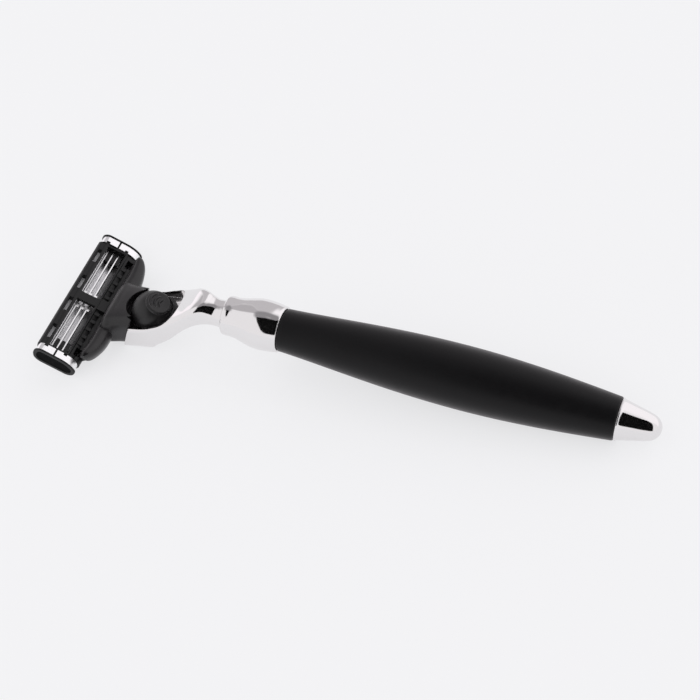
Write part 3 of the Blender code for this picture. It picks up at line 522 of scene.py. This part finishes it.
def opening_outline():
    """Plan of the opening round the button: straight sides and a closing rear end."""
    front = POCKET[0][0]
    power = 2.0 / OPENING_POWER
    points = [(front, -OPENING_HALF_WIDTH)]
    steps = 60
    for i in range(steps + 1):
        turn = -0.5 * math.pi + math.pi * i / steps
        c, s = math.cos(turn), math.sin(turn)
        x = OPENING_ROUND + (OPENING_REAR - OPENING_ROUND) * abs(c) ** power
        points.append((x, OPENING_HALF_WIDTH * math.copysign(abs(s) ** power, s)))
    points.append((front, OPENING_HALF_WIDTH))
    return points


def make_head():
    """Cast the waist, the dipped neck and the cup in one skin, then cut it out."""
    stem_end = -5.3
    neck_start = -FERRULE_LENGTH - FIT
    # each ring: X, top, underside, half width, squareness
    neck = [
        upright_ring(neck_start, 3.62, -3.62, 3.62, 2.0),
        upright_ring(-16.6, 3.52, -3.52, 3.52, 2.0),
        upright_ring(-17.9, 3.5, -3.45, 3.45, 2.0),
        upright_ring(-19.4, 3.75, -3.3, 3.65, 2.3),
        upright_ring(-21.0, 4.0, -3.2, 4.05, 2.8),
        upright_ring(-22.8, 3.5, -3.5, 4.7, 3.4),
        upright_ring(-24.7, 2.2, -4.6, 5.3, 3.8),
        upright_ring(-26.8, 0.5, -6.5, 5.85, 4.0),
        upright_ring(-28.9, -1.0, -8.9, 6.4, 4.2),
        upright_ring(-31.0, -2.2, -10.9, 6.7, 4.4),
        upright_ring(-33.0, -3.3, -12.5, 6.95, 4.6),
    ]
    for x in CUP_STATIONS:
        neck.append(dock_ring(x, CUP_TOP, CUP_UNDER, CUP_HALF_WIDTH, CUP_POWER))
    stem = [upright_ring(stem_end, STEM_RADIUS, -STEM_RADIUS, STEM_RADIUS, 2.0)]
    stem.append(upright_ring(neck_start, STEM_RADIUS, -STEM_RADIUS, STEM_RADIUS, 2.0))
    head = to_mesh("head_shell", loft(stem + smooth_rings(neck, 7)), HANDLE)
    combine(head, seam_block(1.0), DOCK, "DIFFERENCE")
    combine(head, prism(opening_outline(), FLOOR_SHALLOW, 12.0, "XY"), DOCK, "DIFFERENCE")
    combine(head, boxes([POCKET]), DOCK, "DIFFERENCE")
    profile = [(-9.5, 0.0), (-9.5, ROD_RADIUS + FIT), (-4.3, ROD_RADIUS + FIT), (-4.3, 0.0)]
    combine(head, turned(profile, 64), HANDLE, "DIFFERENCE")
    ground = boxes([((-200.0, 200.0), (-50.0, 50.0), (-20.0, 0.0))])
    combine(head, ground, Matrix.Identity(4), "DIFFERENCE")
    smooth(head, 30.0)
    # the flat ground on the heel is not shaded into the curves beside it
    for face in head.data.polygons:
        if face.normal.z < -0.999:
            face.use_smooth = False
    dress(head, "handle", CHROME, "chrome", "head_casting")


# ---------------------------------------------------------------- button

def ridge(centre, radius, half_angle, half_width, height):
    """A crescent ridge with a rounded top that runs along an arc and fades at both ends."""
    rings = []
    steps = 28
    for i in range(steps + 1):
        share = -1.0 + 2.0 * i / steps
        turn = math.pi + math.radians(half_angle) * share
        swell = math.sqrt(max(1.0 - share * share, 0.0004))
        outward = Vector((math.cos(turn), math.sin(turn), 0.0))
        middle = Vector((centre, 0.0, 0.0)) + outward * radius
        ring = []
        for k in range(16):
            around = 2.0 * math.pi * k / 16
            ring.append(middle + outward * (half_width * swell * math.cos(around))
                        + Vector((0.0, 0.0, height * swell * math.sin(around))))
        rings.append(ring)
    return loft(rings)


def make_button():
    """A dome on an oval skirt, with a dished thumb pad that carries three crescents."""
    place = Matrix.Translation(BUTTON_CENTRE)
    bm = bmesh.new()
    bmesh.ops.create_uvsphere(
        bm, u_segments=96, v_segments=64, radius=BUTTON_RADIUS, matrix=place)
    button = to_mesh("thumb_button", bm, DOCK)
    skirt = [(x + 2.2, y) for x, y in superellipse(5.5, 5.4, 2.6, 96)]
    combine(button, prism(skirt, BUTTON_CUT, SKIRT_TOP, "XY"), DOCK, "UNION")
    tip = place @ Matrix.Rotation(math.radians(PAD_LEAN), 4, "Y")
    pad = [(2.0, 0.0), (2.0, 3.3)]
    pad += rounded_corner([(4.75, 3.25), (5.02, 3.2), (5.05, 2.95)])
    pad += [(4.97, 2.5), (4.93, 1.5), (PAD_FACE, 0.0)]
    upright = tip @ Matrix.Rotation(math.radians(-90.0), 4, "Y")
    combine(button, turned(pad, 96), DOCK @ upright, "UNION")
    dish = [(4.93, 0.0), (4.93, 1.5), (4.97, 2.5), (5.06, 2.92), (7.0, 2.92), (7.0, 0.0)]
    combine(button, turned(dish, 96), DOCK @ upright, "DIFFERENCE")
    face = DOCK @ tip @ Matrix.Translation((0.0, 0.0, PAD_FACE))
    for centre, radius in RIDGES:
        bm = ridge(centre, radius, RIDGE_HALF_ANGLE, RIDGE_HALF_WIDTH, RIDGE_HEIGHT)
        combine(button, bm, face, "UNION")
    lower = boxes([((-12.0, 16.0), (-12.0, 12.0), (-12.0, BUTTON_CUT))])
    combine(button, lower, DOCK, "DIFFERENCE")
    front = boxes([((-12.0, BUTTON_FRONT), (-12.0, 12.0), (-11.0, BUTTON_FRONT_TOP))])
    combine(button, front, DOCK, "DIFFERENCE")
    legs = boxes([((2.2, 3.0), (y - 0.5, y + 0.5), (-0.7, 2.55))
                  for y in (-BUTTON_SPRING_Y, BUTTON_SPRING_Y)])
    combine(button, legs, DOCK, "UNION")
    dress(smooth(button, 30.0), "release_button", THUMB_BLACK, "head_plastic", "release_button")


# ---------------------------------------------------------------- yoke

def socket_ring(x):
    """A ring of the yoke's socket across the dock frame's X."""
    outline = superellipse(SOCKET_HALF_WIDTH, SOCKET_HALF_HEIGHT, 4.0, 64)
    return [(x, p, SOCKET_UP + q) for p, q in outline]


def pivot_offset(angle, reach, side):
    """A point beside a ray from the pivot, in the blade frame."""
    turn = math.radians(angle)
    s = PIVOT[0] + reach * math.cos(turn) - side * math.sin(turn)
    return (s, PIVOT[1] + reach * math.sin(turn) + side * math.cos(turn))


def make_yoke():
    """A socket that widens to a crescent arm over the cartridge's back, with two posts."""
    # each section: X, top, underside, half width
    sections = ((0.6, 6.2, -3.4, 6.5), (-4.0, 6.35, -3.3, 7.1), (-7.0, 6.5, -2.75, 7.55))
    sections += ((-9.0, 6.45, -2.2, 8.2), (-10.4, 5.4, -1.9, 8.45))
    rings = []
    for x, top, bottom, half_width in sections:
        outline = superellipse(half_width, (top - bottom) / 2, 4.0, RING)
        rings.append([(x, p, (top + bottom) / 2 + q) for p, q in outline])
    yoke = to_mesh("fork_shell", loft(smooth_rings(rings, 8)), DOCK)

    # each station of half the arm: Y, middle in X and Z, half sizes in X and Z
    arm = ((0.0, 7.7, 1.5, 2.3, 2.7), (8.0, 7.6, 1.5, 2.35, 2.7), (11.5, 7.55, 1.6, 2.2, 2.6))
    arm += ((15.0, 7.0, 1.9, 1.8, 2.3), (16.8, 6.4, 2.1, 1.3, 2.0), (17.6, 6.1, 2.3, 0.7, 1.3))
    stations = [(-y, s, h, rs, rh) for y, s, h, rs, rh in reversed(arm[1:])] + list(arm)
    rings = []
    for y, s, h, rs, rh in stations:
        rings.append([(s + p, y, h + q) for p, q in superellipse(rs, rh, 2.4, 72)])
    combine(yoke, loft(smooth_rings(rings, 8)), BLADE, "UNION")

    circle = superellipse(CLEAR_RADIUS, CLEAR_RADIUS, 2.0, 128)
    round_pivot = [(PIVOT[0] + p, PIVOT[1] + q) for p, q in circle]
    combine(yoke, prism(round_pivot, -19.0, 19.0), BLADE, "DIFFERENCE")
    combine(yoke, seam_block(-1.0), DOCK, "DIFFERENCE")
    for radius, low, high in ((YOKE_RELIEF, -6.0, 5.95), (YOKE_LIP, 4.6, 9.0)):
        outline = arc((0.27, 0.0), radius, 90.0, 270.0, 72) + [(12.0, -radius), (12.0, radius)]
        combine(yoke, prism(outline, low, high, "XY"), DOCK, "DIFFERENCE")
    socket = loft([socket_ring(0.0), socket_ring(SOCKET_FRONT)])
    combine(yoke, socket, DOCK, "DIFFERENCE")
    profile = [(-8.0, 0.0), (-8.0, 0.75), (-12.0, 0.75), (-12.0, 0.0)]
    combine(yoke, turned(profile, 32, PLUNGER_UP), DOCK, "DIFFERENCE")
    stem = [pivot_offset(STEM_DIRECTION, 4.75, side) for side in (-0.65, 0.65)]
    stem += arc(PIVOT, 1.0, 93.5, 372.5, 40)
    for side in (-1, 1):
        span = sorted((side * STEM_IN, side * STEM_OUT))
        combine(yoke, prism(stem, span[0], span[1]), BLADE, "UNION")
    dress(smooth(yoke, 30.0), "yoke", HEAD_BLACK, "head_plastic", "yoke")


# ---------------------------------------------------------------- springs

def coil(start, end, radius, wire, turns):
    """A compression spring about an axis along X, with round wire of radius wire."""
    steps = 24 * turns
    rings = []
    for i in range(steps + 1):
        part = i / steps
        turn = 2.0 * math.pi * turns * part
        outward = Vector((0.0, math.cos(turn), math.sin(turn)))
        centre = Vector((start + (end - start) * part, 0.0, 0.0)) + outward * radius
        ring = []
        for k in range(10):
            around = 2.0 * math.pi * k / 10
            ring.append(centre + outward * wire * math.cos(around)
                        + Vector((wire * math.sin(around), 0.0, 0.0)))
        rings.append(ring)
    return loft(rings)


def make_springs():
    """Coil a spring for each side of the button and one for the plunger, riding with the handle.
    """
    left = (0.0, -BUTTON_SPRING_Y, BUTTON_SPRING_UP)
    right = (0.0, BUTTON_SPRING_Y, BUTTON_SPRING_UP)
    middle = (0.0, 0.0, PLUNGER_UP)
    springs = (("button_coil_left", "button_spring_left", "button_slide", left,
                BUTTON_SPRING, BUTTON_TRAVEL),
               ("button_coil_right", "button_spring_right", "button_slide", right,
                BUTTON_SPRING, BUTTON_TRAVEL),
               ("plunger_coil", "plunger_spring", "plunger_slide", middle,
                PLUNGER_SPRING, PLUNGER_TRAVEL))
    for name, stands_for, joint, at, shape, travel in springs:
        place = DOCK @ Matrix.Translation(at)
        spring = smooth(to_mesh(name, coil(*shape), place), 50.0)
        dress(spring, "handle", SPRING_STEEL, "spring_steel", stands_for)
        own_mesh(spring)


# ---------------------------------------------------------------- cartridge trim

def lining_material():
    """Bright metal at the window, with painted shade that darkens it to near black towards the
    bar.
    """
    mat = surface("bar_lining_metal", (0.97, 0.97, 0.98), (0.9, 0.9, 0.91), 1.0, 0.4, 0.04,
                  3600.0, 0.0000004, stretch=(1.0, 0.05, 1.0), wear=0.3,
                  wear_colour=(1.0, 1.0, 1.0), edge_radius=0.00001)
    tree = mat.node_tree
    shader = tree.nodes["Principled BSDF"]
    painted = shader.inputs["Base Color"].links[0].from_socket
    coords = node(tree, "ShaderNodeTexCoord").outputs["Object"]
    across = BLADE.to_3x3() @ Vector((1.0, 0.0, 0.0))
    along = node(tree, "ShaderNodeVectorMath", {0: coords, 1: tuple(across)},
                 operation="DOT_PRODUCT").outputs["Value"]
    base = (BLADE.translation * MM).dot(across)
    # painted shade: the colour fades from near black on the bar to the bright metal at the window
    fade = node(tree, "ShaderNodeMapRange", {
        "Value": along, "From Min": base + LINING_SHADED * MM,
        "From Max": base + LINING_LIT * MM}).outputs[0]
    colour = node(tree, "ShaderNodeMix", {0: fade, 6: (0.02, 0.02, 0.021, 1.0), 7: painted},
                  data_type="RGBA").outputs[2]
    tree.links.new(colour, shader.inputs["Base Color"])
    return mat


def make_linings():
    """Thin rolled strips on the sloped edge of the cap bar, one in each window."""
    mat = lining_material()
    top = hermite([(-3.9, 1.76), (-3.6, 1.68), (-3.3, 1.35), (-3.12, 0.95), (-3.03, 0.5)], 5)
    under = [(-3.2, 0.5), (-3.3, 0.9), (-3.75, 1.62), (-3.9, 1.72)]
    for name, side in (("bar_lining_left", -1), ("bar_lining_right", 1)):
        span = sorted((side * WINDOW_NEAR, side * WINDOW_FAR))
        strip = smooth(to_mesh(name, prism(top + under, span[0], span[1]), BLADE), 50.0)
        dress(strip, "cartridge", mat, "clip_metal")


def make_end_inlays():
    """A dull black oval set in the sunk middle of each end face of the cartridge."""
    rim = [(-4.3, 2.75), (2.3, 2.2), (4.4, 1.4), (6.03, -0.1), (5.45, -2.4), (3.9, -3.25)]
    rim += [(-4.2, -2.75), (-5.6, -1.9), (-6.03, -0.3), (-5.75, 1.7)]
    corners = [(s * SUNK_SHARE[0], SUNK_MIDDLE + (h - SUNK_MIDDLE) * SUNK_SHARE[1])
               for s, h in rim]
    outline = []
    for before, here, after in zip(corners[-1:] + corners, corners, corners[1:] + corners[:1]):
        start = Vector(here).lerp(Vector(before), 0.3)
        end = Vector(here).lerp(Vector(after), 0.3)
        outline += rounded_corner([start, here, end])
    for name, side in (("end_inlay_left", -1), ("end_inlay_right", 1)):
        span = sorted((side * (SUNK_FLOOR - 0.05), side * (SUNK_FLOOR + 0.1)))
        inlay = smooth(to_mesh(name, prism(outline, span[0], span[1]), BLADE), 40.0)
        dress(inlay, "cartridge", INLAY_BLACK, "cartridge_plastic")


# ---------------------------------------------------------------- carried-over nodes

def carry(name, mat):
    """Keep a CAD node and give it its procedural material."""
    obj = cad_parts[name]
    obj.data.materials.clear()
    obj.data.materials.append(mat)


def make_rest():
    """Dress the pieces that keep their CAD shape."""
    carry("nose_insert", HEAD_BLACK)
    carry("plunger", HEAD_BLACK)
    for name in ("tie_rod", "rod_nut", "button_stop_screw"):
        carry(name, SPRING_STEEL)
    carry("front_bush", BRASS)
    carry("rear_bush", BRASS)
    carry("cartridge_housing", CARTRIDGE_BLACK)
    carry("clip_left", CLIP_METAL)
    carry("clip_right", CLIP_METAL)
    carry("lubricating_strip", STRIP_GREY)
    carry("guard_strip", GUARD_RUBBER)
    for i in (1, 2, 3):
        carry("blade_%d" % i, BLADE_STEEL)
        carry("blade_support_%d" % i, BLADE_STEEL)


make_grip()
make_ferrule()
make_finial()
make_head()
make_button()
make_yoke()
make_springs()
make_linings()
make_end_inlays()
make_rest()


# ---------------------------------------------------------------- studio

WALL_WHITE = (0.93, 0.915, 0.925)
# panels on the walls: colour, then in degrees the turn about Z from and to, and the height
# above the horizon from and to
PANELS = (
    ((0.60, 0.58, 0.595), 92.0, 131.0, -5.0, 80.0),
    ((0.52, 0.50, 0.515), 131.0, 172.0, 27.0, 82.0),
    ((1.15, 1.09, 1.13), 134.0, 162.0, -2.0, 18.0),
    ((0.30, 0.29, 0.30), -181.0, 181.0, 68.0, 91.0),
    ((1.1, 1.07, 1.09), 15.0, 90.0, 4.0, 60.0),
)
PANEL_BLUR = (0.05, 0.07)       # softness of a panel's upright and level edges, in radians
# a dark screen behind the camera, seen only as a reflection: left, right, down, up from it
CAMERA_DARK = (-0.26, 0.31, -0.30, 0.30)
CAMERA_AT = (0.126444, -0.244940, 0.330128)
CAMERA_TURN = (0.703959, 0.103681, 0.353483)
CAMERA_LENS = 88.29
FLOOR_REACH = 30.0
FLOOR_COLOUR = (0.25, 0.253, 0.257, 1.0)
FLOOR_GLOW = 0.667
DARK_COLOUR = (0.004, 0.004, 0.004, 1.0)
LAMP_HEIGHT = 1.6
LAMP_SIZE = (2.2, 2.2)
LAMP_POWER = 5.0


def area_light(name, at, target, size, power):
    """A rectangular lamp that points at a target."""
    data = bpy.data.lights.new(name, "AREA")
    data.shape = "RECTANGLE"
    data.size, data.size_y = size
    data.energy = power
    lamp = bpy.data.objects.new(name, data)
    bpy.context.collection.objects.link(lamp)
    lamp.location = at
    aim = Vector(target) - Vector(at)
    lamp.rotation_euler = aim.to_track_quat("-Z", "Y").to_euler()
    return lamp


def make_world():
    """White walls with panels of other shades, as seen in the chrome."""
    world = bpy.data.worlds.new("studio")
    world.use_nodes = True
    tree = world.node_tree
    back = tree.nodes["Background"]
    direction = node(tree, "ShaderNodeTexCoord").outputs["Generated"]
    parts = node(tree, "ShaderNodeSeparateXYZ", {0: direction})
    turn = node(tree, "ShaderNodeMath", {0: parts.outputs["Y"], 1: parts.outputs["X"]},
                operation="ARCTAN2").outputs[0]
    rise = node(tree, "ShaderNodeMath", {0: parts.outputs["Z"]}, operation="ARCSINE").outputs[0]
    colour = None
    for paint, start, end, low, high in PANELS:
        across = mask(tree, turn, math.radians(start), math.radians(end), PANEL_BLUR[0])
        along = mask(tree, rise, math.radians(low), math.radians(high), PANEL_BLUR[1])
        flat = node(tree, "ShaderNodeMath", {0: across, 1: along},
                    operation="MULTIPLY").outputs[0]
        behind = colour if colour is not None else (*WALL_WHITE, 1.0)
        colour = node(tree, "ShaderNodeMix", {0: flat, 6: behind, 7: (*paint, 1.0)},
                      data_type="RGBA", clamp_result=False).outputs[2]
    tree.links.new(colour, back.inputs["Color"])
    bpy.context.scene.world = world


def sheet_mesh(name, corners, colour, glow=0.0):
    """A flat panel of the studio; a light table's top glows a little, which softens shadows."""
    mesh = bpy.data.meshes.new(name)
    mesh.from_pydata([tuple(c) for c in corners], [], [(0, 1, 2, 3)])
    panel = bpy.data.objects.new(name, mesh)
    bpy.context.collection.objects.link(panel)
    mat = bpy.data.materials.new(name)
    mat.use_nodes = True
    shader = mat.node_tree.nodes["Principled BSDF"]
    shader.inputs["Base Color"].default_value = colour
    shader.inputs["Roughness"].default_value = 0.95
    shader.inputs["Specular IOR Level"].default_value = 0.0
    shader.inputs["Emission Color"].default_value = (1.0, 1.0, 1.015, 1.0)
    shader.inputs["Emission Strength"].default_value = glow
    mesh.materials.append(mat)
    return panel


def make_studio():
    """Set up walls, floor, the dark screen behind the camera and one soft lamp above."""
    bpy.context.scene.view_settings.view_transform = "Standard"
    make_world()
    reach = FLOOR_REACH
    corners = [(-reach, -reach, 0.0), (reach, -reach, 0.0), (reach, reach, 0.0),
               (-reach, reach, 0.0)]
    sheet_mesh("floor", corners, FLOOR_COLOUR, FLOOR_GLOW)

    camera = bpy.context.scene.camera
    left, right, down, up = CAMERA_DARK
    place = Matrix.Translation(camera.location) @ camera.rotation_euler.to_matrix().to_4x4()
    corners = [place @ Vector((x, y, 0.01)) for x, y in
               ((left, down), (right, down), (right, up), (left, up))]
    dark = sheet_mesh("camera_dark", corners, DARK_COLOUR)
    dark.visible_camera = False
    dark.visible_diffuse = False
    dark.visible_shadow = False

    lamp = area_light("top_soft", (0.0, 0.0, LAMP_HEIGHT), (0.0, 0.0, 0.0), LAMP_SIZE,
                      LAMP_POWER)
    lamp.visible_glossy = False


def make_camera():
    """Look down at the razor from one side, a little towards the finial."""
    data = bpy.data.cameras.new("camera")
    data.lens = CAMERA_LENS
    data.sensor_width = 36.0
    data.clip_start = 0.01
    camera = bpy.data.objects.new("camera", data)
    bpy.context.collection.objects.link(camera)
    camera.location = CAMERA_AT
    camera.rotation_euler = CAMERA_TURN
    bpy.context.scene.camera = camera


make_camera()
make_studio()
